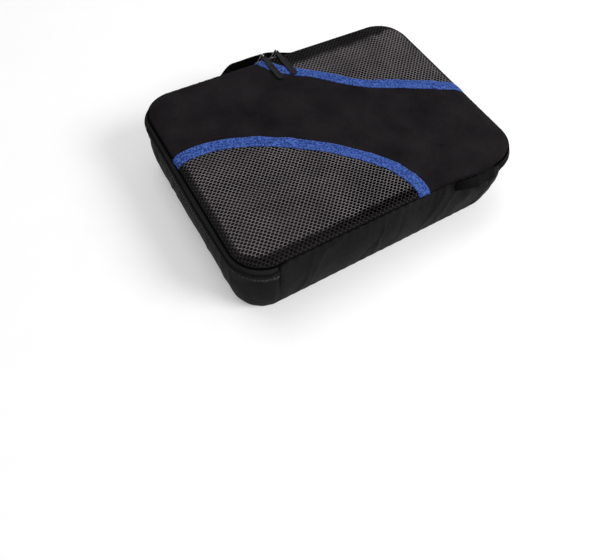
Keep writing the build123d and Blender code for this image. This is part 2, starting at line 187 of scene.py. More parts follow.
# ---- studio ----
SENSOR = 36.0
FOCAL_PIXELS = 473.8
PHOTO_WIDTH = 600
AZIMUTH, ELEVATION, ROLL = radians(-37.6), radians(61.45), radians(7.79)
DISTANCE = 351.8
AIM = Vector((-104.6, -121.8, SEAM_Z))
FLOOR_HALF = 4000
FLOOR_GLOW = 0.2       # the floor's own light where it is seen near the object,
FAR_GLOW = 0.65        # and far from it
GLOW_FROM, GLOW_TO = 0.5, 2.2      # metres from the object
WORLD_LEVEL = 0.45     # light of the white surroundings


# ---------------------------------------------------------------- plan of the lid seam
def seam_runs():
    """Straights and corners in order: kind, length, start or centre, direction or angle."""
    bend = CORNER * pi / 2
    return [
        ("arc", bend, (-STRAIGHT_X, -STRAIGHT_Y), -pi / 2),
        ("line", 2 * STRAIGHT_Y, (-HALF_X, -STRAIGHT_Y), (0, 1)),
        ("arc", bend, (-STRAIGHT_X, STRAIGHT_Y), pi),
        ("line", 2 * STRAIGHT_X, (-STRAIGHT_X, HALF_Y), (1, 0)),
        ("arc", bend, (STRAIGHT_X, STRAIGHT_Y), pi / 2),
        ("line", 2 * STRAIGHT_Y, (HALF_X, STRAIGHT_Y), (0, -1)),
        ("arc", bend, (STRAIGHT_X, -STRAIGHT_Y), 0.0),
        ("line", 2 * STRAIGHT_X, (STRAIGHT_X, -HALF_Y), (-1, 0)),
    ]


RUNS = seam_runs()
ROUND = sum(run[1] for run in RUNS)
ZIP_LENGTH = ROUND - 2 * STRAIGHT_X


def plan(s, out=0.0):
    """Point (x, y) at distance s round the seam and out millimetres outside it."""
    s = s % ROUND
    for kind, length, at, way in RUNS:
        if s <= length:
            break
        s -= length
    if kind == "arc":
        angle = way - s / CORNER
        return (at[0] + (CORNER + out) * cos(angle), at[1] + (CORNER + out) * sin(angle))
    outward = (-way[1], way[0])
    return (at[0] + way[0] * s + outward[0] * out, at[1] + way[1] * s + outward[1] * out)


def inset(x, y):
    """How far a point lies inside the lid seam; negative outside it."""
    ax, ay = abs(x), abs(y)
    if ax > STRAIGHT_X and ay > STRAIGHT_Y:
        return CORNER - hypot(ax - STRAIGHT_X, ay - STRAIGHT_Y)
    return min(HALF_X - ax, HALF_Y - ay)


def pull_inside(x, y, margin=0.0):
    """Move a point that is outside the seam's plan, made smaller by margin, back onto it."""
    ax, ay = abs(x), abs(y)
    if ax > STRAIGHT_X and ay > STRAIGHT_Y:
        away = hypot(ax - STRAIGHT_X, ay - STRAIGHT_Y)
        if away > CORNER - margin:
            scale = (CORNER - margin) / away
            ax = STRAIGHT_X + (ax - STRAIGHT_X) * scale
            ay = STRAIGHT_Y + (ay - STRAIGHT_Y) * scale
    ax, ay = min(ax, HALF_X - margin), min(ay, HALF_Y - margin)
    return (ax if x >= 0 else -ax, ay if y >= 0 else -ay)


def rounded(x, y, margin=0.0):
    """Map the plan's bounding rectangle onto the rounded plan, corner squares onto corners."""
    ax, ay = abs(x), abs(y)
    if ax > STRAIGHT_X and ay > STRAIGHT_Y:
        u, v = (ax - STRAIGHT_X) / CORNER, (ay - STRAIGHT_Y) / CORNER
        ax = STRAIGHT_X + CORNER * u * sqrt(1 - v * v / 2)
        ay = STRAIGHT_Y + CORNER * v * sqrt(1 - u * u / 2)
    shrink_x, shrink_y = (HALF_X - margin) / HALF_X, (HALF_Y - margin) / HALF_Y
    return (ax * shrink_x * (1 if x >= 0 else -1), ay * shrink_y * (1 if y >= 0 else -1))


# ---------------------------------------------------------------- cloth surfaces
def soft(x, y, seed=0.0):
    """Smooth noise of the plane, about -1 to 1."""
    return noise.noise(Vector((x, y, seed)))


def crease(x, y, seed, width):
    """Narrow ridges along the noise's zero lines, 0 to 1."""
    return max(0.0, 1 - abs(soft(x, y, seed)) / width) ** 1.6


def smooth_step(t):
    """0 to 1 while t goes from 0 to 1, level at both ends."""
    t = min(max(t, 0.0), 1.0)
    return t * t * (3 - 2 * t)


def under_tabs(x, y):
    """1 wherever a pull can lie on the lid, fading to 0 round there."""
    past = max(TAB_X[0] - TRAVEL - x, x - TAB_X[1] - TRAVEL, 0.0)
    return (1 - smooth_step((past - 4) / 9)) * smooth_step((y - TAB_LOW.y + 12) / 12)


def droop(x, y):
    """1 where the front seam sags most, beside the label, fading to 0 round there."""
    return exp(-((x - DROOP_X) / DROOP_WIDTH) ** 2) * exp(-(y + HALF_Y) / DROOP_DEPTH)


def lid_waves(x, y):
    """Slack of the stuffed lid: long waves, short waves and slanting folds."""
    waves = 0.8 * soft(x / 46, y / 38, 2.1) + 0.35 * soft(x / 17, y / 15, 5.7)
    return waves + 0.8 * crease((x + 0.7 * y) / 55, (y - 0.4 * x) / 22, 9.4, 0.22)


def rim_pucker(x, y, d):
    """Gathers where the lid is sewn in, at d millimetres inside the seam."""
    turn = 2 * pi * (x + y) / 8.5 + 3 * soft(x / 20, y / 20, 1.0)
    return 0.35 * exp(-d / 5) * sin(turn) * smooth_step(d / 3)


def lid_z(x, y):
    """Height of the stuffed lid's cloth."""
    d = max(inset(x, y), 0.0)
    t = min(d / RIM, 1.0)
    rise = RIM_RISE * sqrt(max(0.0, 1 - (1 - t) ** 2))
    dome = DOME * (1 - (x / HALF_X) ** 2) * (1 - (y / HALF_Y) ** 2)
    inner = smooth_step(d / LID_FLAT)
    z = SEAM_Z + rise + dome * inner + lid_waves(x, y) * inner + rim_pucker(x, y, d)
    under = TAB_LOW.z - PRESS + PRESS_SLOPE * (TAB_HIGH.y - y)
    if z > under:
        z += (under - z) * under_tabs(x, y)
    return z - SAG * droop(x, y)


def side_swell(s):
    """The filled sides bow out between the corners; the front corners are drawn tight."""
    x, y = plan(s)
    bow = exp(-((y + 12) / 52) ** 2) * smooth_step((abs(x) - STRAIGHT_X) / CORNER)
    tight = exp(-((y + HALF_Y) / 26) ** 2) * smooth_step((abs(x) - STRAIGHT_X + 4) / 12)
    return SWELL * bow - TIGHT * tight


def crumple(s, z):
    """Slack of a wall: a long wave, with upright ridges and grooves."""
    wave = 1.1 * soft(s / 34, z / 120, 3.3)
    ridges = 0.9 * crease(s / 19 + z / 230, z / 95, 8.8, 0.2)
    return wave + ridges - 0.7 * crease(s / 23 - z / 200, z / 80, 4.4, 0.2)


def gathers(s, z, top, height):
    """Small puckers along a wall's foot and, height high, along its top seam."""
    foot = 0.16 * exp(-z / 7) * sin(2 * pi * s / 10.5 + 3 * soft(s / 25, 0, 6.0))
    return foot + height * exp(-(top - z) / 7) * sin(2 * pi * s / 8.3 + 3 * soft(s / 25, 0, 2.0))


def label_fold(x, z):
    """The long fold under the label, sharp on its lower side, and the hollow below it."""
    level = z - FOLD_Z + FOLD_SLOPE * (x - FOLD_LEVEL_X)
    ridge = exp(-(level / (4.8 if level > 0 else 2.0)) ** 2)
    hollow = exp(-((level + 11) / 6) ** 2)
    return (FOLD_RIDGE * ridge - FOLD_HOLLOW * hollow) * exp(-((x - FOLD_X) / FOLD_HALF) ** 4)


def wall_out(s, z):
    """How far the wall stands outside the lid seam's plan at distance s and height z."""
    s = s % ROUND
    front = s >= ZIP_LENGTH
    top, flare = (SEAM_Z, 0.0) if front else (WALL_TOP, FLARE)
    from_seam = min(abs(s - ZIP_LENGTH), ROUND - s if front else s)
    t = min(z / top, 1.0)
    out = 4 * (BULGE - flare / 2) * t * (1 - t) + flare * t
    if front:       # its ends swell up to the zip tape that they are sewn to
        at_end = 1 - smooth_step(from_seam / 16)
        out += at_end * smooth_step((z - 30) / 20) * max(0.0, TAPE_OUT - 0.4 - out)
    else:
        out += side_swell(s) * smooth_step(z / top)
    groove = exp(-(from_seam / 2.2) ** 2) * smooth_step(z / 6) * (1 - smooth_step((z - 60) / 5))
    out -= GROOVE * groove
    out += smooth_step(z / 9) * smooth_step((top - z) / 9) * crumple(s, z)
    out += gathers(s, z, top, 0.4 if front else 0.25)
    if front:
        x, y = plan(s)
        out += SAG * droop(x, y) * smooth_step(z / top)
        out += label_fold(x, z) * smooth_step((top - z) / 4)
    return out + 0.12 * soft(s / 5, z / 5, 7.7)


def drawn_down(s, z):
    """Height of the front wall's point z where the sagging seam draws it down."""
    return z - SAG * droop(*plan(s)) * smooth_step((z - SAG_FOOT) / SAG_SPAN)


# ---------------------------------------------------------------- mesh building
def add_mesh(name, points, faces, uvs=None):
    """New object from points in millimetres, with one UV in metres for each point."""
    mesh = bpy.data.meshes.new(name)
    mesh.from_pydata([Vector(p) * MM for p in points], [], faces)
    if uvs is not None:
        layer = mesh.uv_layers.new(name="cloth")
        for loop in mesh.loops:
            layer.data[loop.index].uv = uvs[loop.vertex_index]
    mesh.polygons.foreach_set("use_smooth", [True] * len(mesh.polygons))
    mesh.update()
    piece = bpy.data.objects.new(name, mesh)
    bpy.context.scene.collection.objects.link(piece)
    return piece


def grid(name, along, across, place, closed=False, keep=None):
    """Quads over two lists of values; the UVs are the values in metres."""
    points = [place(a, b) for a in along for b in across]
    uvs = [(a * MM, b * MM) for a in along for b in across]
    n = len(across)
    faces = []
    for i in range(len(along) if closed else len(along) - 1):
        i2 = (i + 1) % len(along)
        for j in range(n - 1):
            if keep is None or keep(along[i], across[j], along[i2], across[j + 1]):
                faces.append((i * n + j, i2 * n + j, i2 * n + j + 1, i * n + j + 1))
    return add_mesh(name, points, faces, uvs)


def change_uvs(piece, change):
    """Replace each UV by what change makes of its vertex's number and the old UV."""
    layer = piece.data.uv_layers["cloth"].data
    for loop in piece.data.loops:
        layer[loop.index].uv = change(loop.vertex_index, layer[loop.index].uv)


def spread(low, high, step):
    """Evenly spaced values from low to high, about step apart."""
    count = max(1, round((high - low) / step))
    return [low + (high - low) * i / count for i in range(count + 1)]


def thicken(piece, thickness, offset=-1.0):
    """Make a skin into cloth behind it (-1), round it (0) or in front of it (1)."""
    skin = piece.modifiers.new("cloth", "SOLIDIFY")
    skin.thickness = thickness * MM
    skin.offset = offset
    return piece


def strip(name, s_low, s_high, profile, step=2.0, closed=False):
    """Sweep profile(s), a list of (out, z), round the seam."""
    rows = spread(s_low, s_high, step)
    if closed:
        rows = rows[:-1]
    profiles = {s: profile(s) for s in rows}

    def place(s, j):
        out, z = profiles[s][j]
        return (*plan(s, out), z)

    piece = grid(name, rows, range(len(profiles[rows[0]])), place, closed)
    change_uvs(piece, lambda n, uv: (uv.x, uv.y * PROFILE_STEP))
    return piece


def tube(name, centres, radius, sides=6, closed=False):
    """Round tube through points, with caps."""
    points, faces = [], []
    count = len(centres)
    for i, c in enumerate(centres):
        before = centres[i - 1] if i or closed else centres[i]
        after = centres[(i + 1) % count] if i + 1 < count or closed else centres[i]
        along = (Vector(after) - Vector(before)).normalized()
        side = along.cross(Vector((0, 0, 1)))
        side = side.normalized() if side.length > 1e-6 else Vector((1, 0, 0))
        up = side.cross(along)
        for k in range(sides):
            a = 2 * pi * k / sides
            points.append(Vector(c) + (side * cos(a) + up * sin(a)) * radius)
    for i in range(count if closed else count - 1):
        i2 = (i + 1) % count
        for k in range(sides):
            k2 = (k + 1) % sides
            faces.append((i * sides + k, i * sides + k2, i2 * sides + k2, i2 * sides + k))
    if not closed:
        faces.append(tuple(range(sides))[::-1])
        faces.append(tuple((count - 1) * sides + k for k in range(sides)))
    return add_mesh(name, points, faces)


def stitches(name, line, normal_at, pitch=STITCH_PITCH, length=STITCH, width=0.5):
    """Raised thread stitches along a list of points: each a short body between sunk tips."""
    sides, sunk, raised, body = 5, 0.15, 0.08, 0.3
    points, faces = [], []
    travelled = [0.0]
    for a, b in zip(line, line[1:]):
        travelled.append(travelled[-1] + (Vector(b) - Vector(a)).length)
    index = 0
    for n in range(int(travelled[-1] / pitch)):
        at = (n + 0.5) * pitch
        while travelled[index + 1] < at:
            index += 1
        a, b = Vector(line[index]), Vector(line[index + 1])
        share = (at - travelled[index]) / (travelled[index + 1] - travelled[index])
        centre = a.lerp(b, share)
        along = (b - a).normalized()
        up = normal_at(centre).normalized()
        side = along.cross(up).normalized()
        tip = len(points)
        tip2 = tip + 1 + sides
        for end in (-1, 1):
            points.append(centre + along * end * length / 2 - up * sunk)
            for k in range(sides):
                turn = 2 * pi * k / sides
                ring = side * cos(turn) * width / 2 + up * sin(turn) * width / 2
                points.append(centre + along * end * length * body + ring + up * raised)
        for k in range(1, sides + 1):
            k2 = k % sides + 1
            faces.append((tip + k, tip + k2, tip2 + k2, tip2 + k))
            faces.append((tip, tip + k2, tip + k))
            faces.append((tip2, tip2 + k, tip2 + k2))
    return add_mesh(name, points, faces)


# ---------------------------------------------------------------- ribbon curves
def curve_points(knots, steps=24):
    """Smooth plan curve through its knots (Catmull-Rom)."""
    ends = [
        (2 * knots[0][0] - knots[1][0], 2 * knots[0][1] - knots[1][1]),
        (2 * knots[-1][0] - knots[-2][0], 2 * knots[-1][1] - knots[-2][1]),
    ]
    chain = [ends[0], *knots, ends[1]]
    line = []
    for p0, p1, p2, p3 in zip(chain, chain[1:], chain[2:], chain[3:]):
        for i in range(steps):
            t = i / steps
            line.append(tuple(
                0.5 * (2 * b + (c - a) * t + (2 * a - 5 * b + 4 * c - d) * t * t
                       + (3 * b - a - 3 * c + d) * t ** 3)
                for a, b, c, d in zip(p0, p1, p2, p3)
            ))
    line.append(tuple(knots[-1]))
    return line


def off_line(line, i, v):
    """The curve's point i moved v millimetres to the curve's left."""
    a, b = line[max(i - 1, 0)], line[min(i + 1, len(line) - 1)]
    ux, uy = b[0] - a[0], b[1] - a[1]
    size = hypot(ux, uy)
    return line[i][0] - uy / size * v, line[i][1] + ux / size * v


def beside(line, x, y):
    """Signed distance of a point from a plan curve, positive on its left."""
    best = min(range(len(line) - 1), key=lambda i: (line[i][0] - x) ** 2 + (line[i][1] - y) ** 2)
    a, b = line[best], line[best + 1]
    ux, uy = b[0] - a[0], b[1] - a[1]
    length = hypot(ux, uy)
    across = (ux * (y - a[1]) - uy * (x - a[0])) / length
    along = (ux * (x - a[0]) + uy * (y - a[1])) / length
    return across if -3 < along < length + 3 else (1 if across > 0 else -1) * hypot(across, along)


FRONT_LINE = curve_points(FRONT_CURVE)
REAR_LINE = curve_points(REAR_CURVE)


def in_front_window(x, y):
    """How far a point lies inside the front net's window; negative outside it."""
    return -beside(FRONT_LINE, x, y)


def in_rear_window(x, y):
    """How far a point lies inside the rear net's window; negative outside it."""
    return beside(REAR_LINE, x, y)


# ---------------------------------------------------------------- materials
def grey(level):
    """Neutral colour."""
    return (level, level, level)


def new_material(name, color, roughness, metallic=0.0, gloss=0.5):
    """New material, with its nodes, its links and its shader."""
    made = bpy.data.materials.new(name)
    made.use_nodes = True
    shader = made.node_tree.nodes["Principled BSDF"]
    shader.inputs["Base Color"].default_value = (*color, 1)
    shader.inputs["Roughness"].default_value = roughness
    shader.inputs["Metallic"].default_value = metallic
    shader.inputs["Specular IOR Level"].default_value = gloss
    return made, made.node_tree.nodes, made.node_tree.links, shader


def plain(name, level, roughness, gloss):
    """One even grey."""
    return new_material(name, grey(level), roughness, gloss=gloss)[0]


def texture(nodes, links, kind, scale, coords, **values):
    """Procedural texture; values set its inputs by name, or else its settings."""
    made = nodes.new(kind)
    made.inputs["Scale"].default_value = scale
    links.new(coords, made.inputs["Vector"])
    for key, value in values.items():
        if key in made.inputs:
            made.inputs[key].default_value = value
        else:
            setattr(made, key, value)
    return made


def ramp(nodes, links, source, low, high, span=(0.0, 1.0)):
    """Colour from low to high while source goes over the span."""
    made = nodes.new("ShaderNodeValToRGB")
    for end, place, color in zip(made.color_ramp.elements, span, (low, high)):
        end.position = place
        end.color = (*color, 1)
    links.new(source, made.inputs["Fac"])
    return made.outputs["Color"]


def sum_of(nodes, links, a, b, weight):
    """a times weight, plus b."""
    made = nodes.new("ShaderNodeMath")
    made.operation = "MULTIPLY_ADD"
    links.new(a, made.inputs[0])
    made.inputs[1].default_value = weight
    links.new(b, made.inputs[2])
    return made.outputs["Value"]


def map_range(nodes, links, source, **values):
    """Map source from one range to another; a name such as To_Min sets the input To Min."""
    made = nodes.new("ShaderNodeMapRange")
    links.new(source, made.inputs["Value"])
    for key, value in values.items():
        made.inputs[key.replace("_", " ")].default_value = value
    return made.outputs["Result"]


def bump(nodes, links, shader, height, strength, distance):
    """Fine relief of a shader's surface."""
    made = nodes.new("ShaderNodeBump")
    made.inputs["Strength"].default_value = strength
    made.inputs["Distance"].default_value = distance
    links.new(height, made.inputs["Height"])
    links.new(made.outputs["Normal"], shader.inputs["Normal"])


def woven(name, dark, light, pitch, roughness, depth=0.0001, rib=(1.0, 1.0), gloss=0.006,
          speck=False):
    """Weave of crossed threads from the UVs, with soft blotches of tone or fine specks."""
    made, nodes, links, shader = new_material(name, dark, roughness, gloss=gloss)
    uv = nodes.new("ShaderNodeUVMap")
    uv.uv_map = "cloth"
    solid = nodes.new("ShaderNodeTexCoord")
    turns = 1 / (pitch * MM) / 2
    warp = texture(nodes, links, "ShaderNodeTexWave", turns * rib[0], uv.outputs["UV"],
                   bands_direction="X", Distortion=0.6)
    weft = texture(nodes, links, "ShaderNodeTexWave", turns * rib[1], uv.outputs["UV"],
                   bands_direction="Y", Distortion=0.6)
    cross = sum_of(nodes, links, warp.outputs["Fac"], weft.outputs["Fac"], 1.0)
    fuzz = texture(nodes, links, "ShaderNodeTexNoise", 900, solid.outputs["Object"], Detail=2)
    if speck:
        twill = texture(nodes, links, "ShaderNodeTexVoronoi", 620, uv.outputs["UV"])
        mix, span = twill.outputs["Distance"], (0.15, 0.82)
    else:
        tone = texture(nodes, links, "ShaderNodeTexNoise", 30, solid.outputs["Object"], Detail=6)
        mix = sum_of(nodes, links, fuzz.outputs["Fac"], tone.outputs["Fac"], 0.6)
        span = (0.47, 1.0)
    links.new(ramp(nodes, links, mix, dark, light, span), shader.inputs["Base Color"])
    height = sum_of(nodes, links, fuzz.outputs["Fac"], cross, 0.5)
    bump(nodes, links, shader, height, 0.55, depth)
    return made


def metal(name, color, roughness, metallic=0.9, gloss=0.5):
    """Smooth metal or enamel with fine worn spots."""
    made, nodes, links, shader = new_material(name, color, roughness, metallic, gloss)
    solid = nodes.new("ShaderNodeTexCoord")
    wear = texture(nodes, links, "ShaderNodeTexNoise", 420, solid.outputs["Object"], Detail=5)
    worn = tuple(min(1.0, c * 1.9 + 0.01) for c in color)
    links.new(ramp(nodes, links, wear.outputs["Fac"], color, worn), shader.inputs["Base Color"])
    bump(nodes, links, shader, wear.outputs["Fac"], 0.12, 0.0001)
    return made


def shade_net(material):
    """Painted shade and light on the net: darken it by its point attribute of painted light, low
    where the net turns down over the rim and high on its flat middle, where it stands for light
    seen through the net.
    """
    nodes, links = material.node_tree.nodes, material.node_tree.links
    shader = nodes["Principled BSDF"]
    tone = shader.inputs["Base Color"].links[0].from_socket
    painted_lit = nodes.new("ShaderNodeAttribute")
    painted_lit.attribute_name = "painted_lit"
    mix = nodes.new("ShaderNodeMix")
    mix.data_type = "RGBA"
    mix.blend_type = "MULTIPLY"
    mix.inputs["Factor"].default_value = 1.0
    level = ramp(nodes, links, painted_lit.outputs["Fac"], grey(0.16), grey(1))
    links.new(tone, mix.inputs["A"])
    links.new(level, mix.inputs["B"])
    links.new(mix.outputs["Result"], shader.inputs["Base Color"])


NYLON = woven("black_nylon", (0.0062, 0.0049, 0.0062), (0.0185, 0.0160, 0.0178), 0.42, 0.6)
# the walls' nylon is the lid's nylon painted darker: painted shade on the walls
SHADED_WALL_NYLON = woven("wall_nylon_painted_shade", grey(0.0045), (0.012, 0.012, 0.0118), 0.42, 0.5, gloss=0.016)
# the zip tape's grey, lighter than the nylon, is painted sheen along the tape's ridges
SHEEN_TAPE = woven("zip_tape", grey(0.011), grey(0.022), 0.8, 0.7)
# light grey piping, lighter than the wall: painted highlight on the ridge of the wall's top fold
FOLD_HIGHLIGHT_PIPING = woven("fold_piping_painted_highlight", grey(0.019), grey(0.038), 0.8, 0.6)
# near-black cord without gloss in the lid seam: painted shade for the groove along the seam
GROOVE_SHADE_CORD = plain("seam_cord_groove_shade", 0.0025, 0.7, 0.0)
BINDING = woven("binding_tape", grey(0.0055), grey(0.013), 0.6, 0.7)
WEBBING = woven("webbing", grey(0.0020), grey(0.0055), 1.3, 0.7, 0.0002)
NET = woven("net_yarn", (0.13, 0.119, 0.125), (0.26, 0.238, 0.25), 0.5, 0.55)
# painted shade over the rim and painted light over the net's middle
shade_net(NET)
RIBBON_BLUE = woven("grosgrain", (0.005, 0.020, 0.115), (0.078, 0.150, 0.50), 0.9, 0.6,
                    0.0003, rib=(1.0, 0.25), speck=True)
LABEL = woven("label_satin", grey(0.0018), grey(0.004), 0.35, 0.4, gloss=0.02)
THREAD = plain("thread", 0.018, 0.6, 0.02)
LIGHT_THREAD = plain("light_thread", 0.15, 0.6, 0.05)
BLUE_THREAD = new_material("blue_thread", (0.15, 0.24, 0.58), 0.6, gloss=0.05)[0]
COIL = plain("nylon_coil", 0.010, 0.4, 0.1)
SLIDER_METAL = metal("black_casting", (0.035, 0.035, 0.036), 0.35)
RING_METAL = metal("dark_wire", (0.22, 0.22, 0.225), 0.28)
ENAMEL = metal("black_enamel", (0.0065, 0.0062, 0.0058), 0.45, 0.0, 0.05)


def dress(piece, material):
    """Give a piece its look."""
    piece.data.materials.clear()
    piece.data.materials.append(material)
    return piece


def over_hinge(piece):
    """Bake the placement of a piece of the lid into its points."""
    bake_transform(piece)
    return piece


# ---------------------------------------------------------------- walls and bottom
def wall_profile(s, top):
    """(out, z) up the wall from its turned-in foot to just under its top."""
    heights = [0.9, 2.2, 4.2] + spread(7, top - 5, 3.2) + [top - 3.2, top - 1.6, top - 0.6]
    wall = [(wall_out(s, z) + 0.3 * exp(-((z - 2) / 2) ** 2), z) for z in heights]
    return [(-2.2, 0.35), (-0.9, 0.3)] + wall


def gusset_profile(s):
    """The side and back wall ends in a fold under the zip."""
    out, top = wall_out(s, WALL_TOP), WALL_TOP
    return wall_profile(s, top) + [(out + 0.7, top + 0.3), (out + 0.9, top + 1.3),
                                   (out + 0.5, top + 2.1), (out - 0.1, top + 2.3),
                                   (out - 0.5, top + 1.4)]


def front_profile(s):
    """The front wall runs up into the lid's hinge seam and sags with it."""
    sag = SAG * droop(*plan(s))
    wall = [(out, drawn_down(s, z)) for out, z in wall_profile(s, SEAM_Z)]
    return wall + [(0.35 + sag, SEAM_Z - 0.05 - sag), (sag, SEAM_Z - sag)]


gusset = strip("gusset_cloth", 0, ZIP_LENGTH, gusset_profile, 1.8)
dress(thicken(gusset, WALL_CLOTH, 1.0), SHADED_WALL_NYLON)
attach(gusset, "base")
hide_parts("gusset_wall")

front = strip("front_cloth", ZIP_LENGTH, ROUND, front_profile, 1.6)
dress(thicken(front, WALL_CLOTH, 1.0), SHADED_WALL_NYLON)
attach(front, "base")
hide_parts("front_wall")


def bottom_point(x, y):
    """The bottom lies slack, a little off the ground in the middle."""
    px, py = rounded(x, y, BOTTOM_MARGIN)
    lift = 0.35 + 0.3 * (1 + soft(px / 30, py / 30, 4.0)) * smooth_step(inset(px, py) / 20)
    return (px, py, lift)


bottom = grid("bottom_cloth", spread(-HALF_X, HALF_X, 4), spread(-HALF_Y, HALF_Y, 4), bottom_point)
dress(thicken(bottom, BOTTOM_CLOTH, 1.0), NYLON)
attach(bottom, "base")
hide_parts("bottom_panel")

binding = strip("base_binding_tape", 0, ROUND, lambda s: [
    (-2.0, 1.0), (-1.1, 2.6), (-0.6, 5.0), (-0.3, 8.2), (-1.0, 9.0), (-1.6, 8.4)], 3, closed=True)
dress(thicken(binding, BINDING_CLOTH), BINDING)
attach(binding, "base")
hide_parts("base_binding")

for name, s_seam, inward in (("left", ROUND, -1), ("right", ZIP_LENGTH, 1)):
    low, high = sorted((s_seam + 0.6 * inward, s_seam + UPRIGHT_WIDTH * inward))
    piece = grid(
        f"seam_binding_tape_{name}", spread(low, high, 2), spread(10, ZIP_Z - 2, 3),
        lambda s, z: (*plan(s, wall_out(s, z) - 1.0), z))
    dress(thicken(piece, UPRIGHT_CLOTH), BINDING)
    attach(piece, "base")
    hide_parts(f"seam_binding_{name}")


# ---------------------------------------------------------------- zip
def tucked(s):
    """How far the zip is drawn in where it ends at an upright seam."""
    return TUCK * (1 - smooth_step(min(s, ZIP_LENGTH - s) / 7))


def tuck(profile, s):
    """Draw a profile in with the zip's ends."""
    return [(out - tucked(s), z) for out, z in profile]


def lower_tape(s):
    """(out, z) from behind the wall's fold up to the lower coil."""
    bow = side_swell(s)
    return tuck([(FLARE - 0.5 + bow, WALL_TOP - 3), (FLARE + bow, WALL_TOP),
                 (TAPE_OUT + 0.9 * bow, WALL_TOP + 2.5), (TAPE_OUT + 0.6 * bow, ZIP_Z - 2.2),
                 (TAPE_OUT - 0.1 + 0.5 * bow, ZIP_Z - 0.7)], s)


def upper_tape(s):
    """(out, z) from the lid seam down to the upper coil."""
    wave = 0.2 * sin(2 * pi * s / 9 + 2 * soft(s / 30, 0, 3.0))
    bow = side_swell(s)
    return tuck([(-0.2, SEAM_Z - 0.5), (0.9 + wave, SEAM_Z - 0.3),
                 (2.2 + wave + 0.2 * bow, SEAM_Z - 1.5),
                 (3.0 + 0.5 * wave + 0.35 * bow, SEAM_Z - 3.2),
                 (TAPE_OUT + 0.45 * bow, SEAM_Z - 5.0), (TAPE_OUT + 0.5 * bow, ZIP_Z + 0.7)], s)


def coil(name, level, phase, s_low, s_high):
    """Continuous nylon coil: one flattened loop for each tooth."""
    steps = 10 * round((s_high - s_low) / TOOTH_PITCH)
    centres = []
    for i in range(steps + 1):
        turn = 2 * pi * i / 10 + phase
        s = s_low + (s_high - s_low) * i / steps
        out = TAPE_OUT + COIL_OUT + TOOTH_DEPTH * cos(turn) + 0.5 * side_swell(s)
        centres.append((*plan(s, out - tucked(s)), level + TOOTH_HALF * sin(turn)))
    return tube(name, centres, COIL_WIRE, 5)


def zip_tape(name, profile):
    """One tape, from upright seam to upright seam."""
    piece = strip(name, TAPE_END, ZIP_LENGTH - TAPE_END, profile, 2)
    return dress(thicken(piece, TAPE_CLOTH), SHEEN_TAPE)


def zip_coil(name, level, phase):
    """One coil, from upright seam to upright seam."""
    return dress(coil(name, level, phase, COIL_END, ZIP_LENGTH - COIL_END), COIL)


tape = zip_tape("lower_tape", lower_tape)
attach(tape, "base")
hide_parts("zip_tape_lower")
teeth = zip_coil("lower_coil", ZIP_Z - COIL_APART, 0.0)
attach(teeth, "base")
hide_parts("zip_coil_lower")

tape = zip_tape("upper_tape", upper_tape)
over_hinge(tape)
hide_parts("zip_tape_upper")
teeth = zip_coil("upper_coil", ZIP_Z + COIL_APART, pi)
over_hinge(teeth)
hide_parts("zip_coil_upper")


def seam_line(out, z):
    """Points along the zip's whole way, at height z and out(s) outside the seam."""
    return [(*plan(s, out(s)), z) for s in spread(0.5, ZIP_LENGTH - 0.5, 1.5)]


def out_from_middle(p):
    """Level direction out of the case at a point of its side."""
    x, y = pull_inside(p.x, p.y, CORNER - 0.5)
    return Vector((p.x - x, p.y - y, 0))


fold_line = seam_line(lambda s: wall_out(s, WALL_TOP) + 0.5, WALL_TOP + 1.5)
# the light piping paints the highlight along the wall's top fold
fold = tube("wall_fold_piping", fold_line, PIPING_RADIUS, 8)
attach(dress(fold, FOLD_HIGHLIGHT_PIPING), "base")
lower_line = seam_line(lambda s: wall_out(s, WALL_TOP) + 0.75, WALL_TOP + 2.75)
line = stitches("lower_tape_stitches", lower_line, out_from_middle, width=0.75)
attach(dress(line, LIGHT_THREAD), "base")
upper_line = seam_line(lambda s: TAPE_OUT + 0.1 + 0.42 * side_swell(s), SEAM_Z - 4.4)
line = stitches("upper_tape_stitches", upper_line, out_from_middle)
over_hinge(dress(line, THREAD))

# ---------------------------------------------------------------- lid
LID_X = spread(-HALF_X, HALF_X, 2.0)
LID_Y = spread(-HALF_Y, HALF_Y, 2.0)


def lid_point(x, y):
    """Lid cloth over a point of the plan's bounding rectangle."""
    px, py = rounded(x, y)
    return (px, py - SAG * droop(px, py), lid_z(px, py))


def panel_face(x1, y1, x2, y2):
    """Keep the lid cloth's faces outside the windows, and a hem under the ribbons."""
    px, py = rounded((x1 + x2) / 2, (y1 + y2) / 2)
    return max(in_front_window(px, py), in_rear_window(px, py)) < NET_UNDER


panel = grid("lid_cloth", LID_X, LID_Y, lid_point, keep=panel_face)
dress(thicken(panel, LID_CLOTH), NYLON)
over_hinge(panel)
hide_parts("lid_centre_panel")


def net_painted_light(x, y):
    """Painted light of the net: 0, darkest painted shade, where it turns down over the rim; 1,
    painted light seen through it, on the flat of the lid.
    """
    over_x, over_y = max(abs(x) - STRAIGHT_X, 0.0), max(abs(y) - STRAIGHT_Y, 0.0)
    across = over_y ** 2 / (over_x ** 2 + over_y ** 2 + 1e-9)
    end_width = BACK_SHADE if y > 0 else FRONT_SHADE
    near = inset(x, y) / (SIDE_SHADE + (end_width - SIDE_SHADE) * across)
    return smooth_step((near + 0.12 * soft(x / 9, y / 9, 4.0) - 0.85) / 0.3)


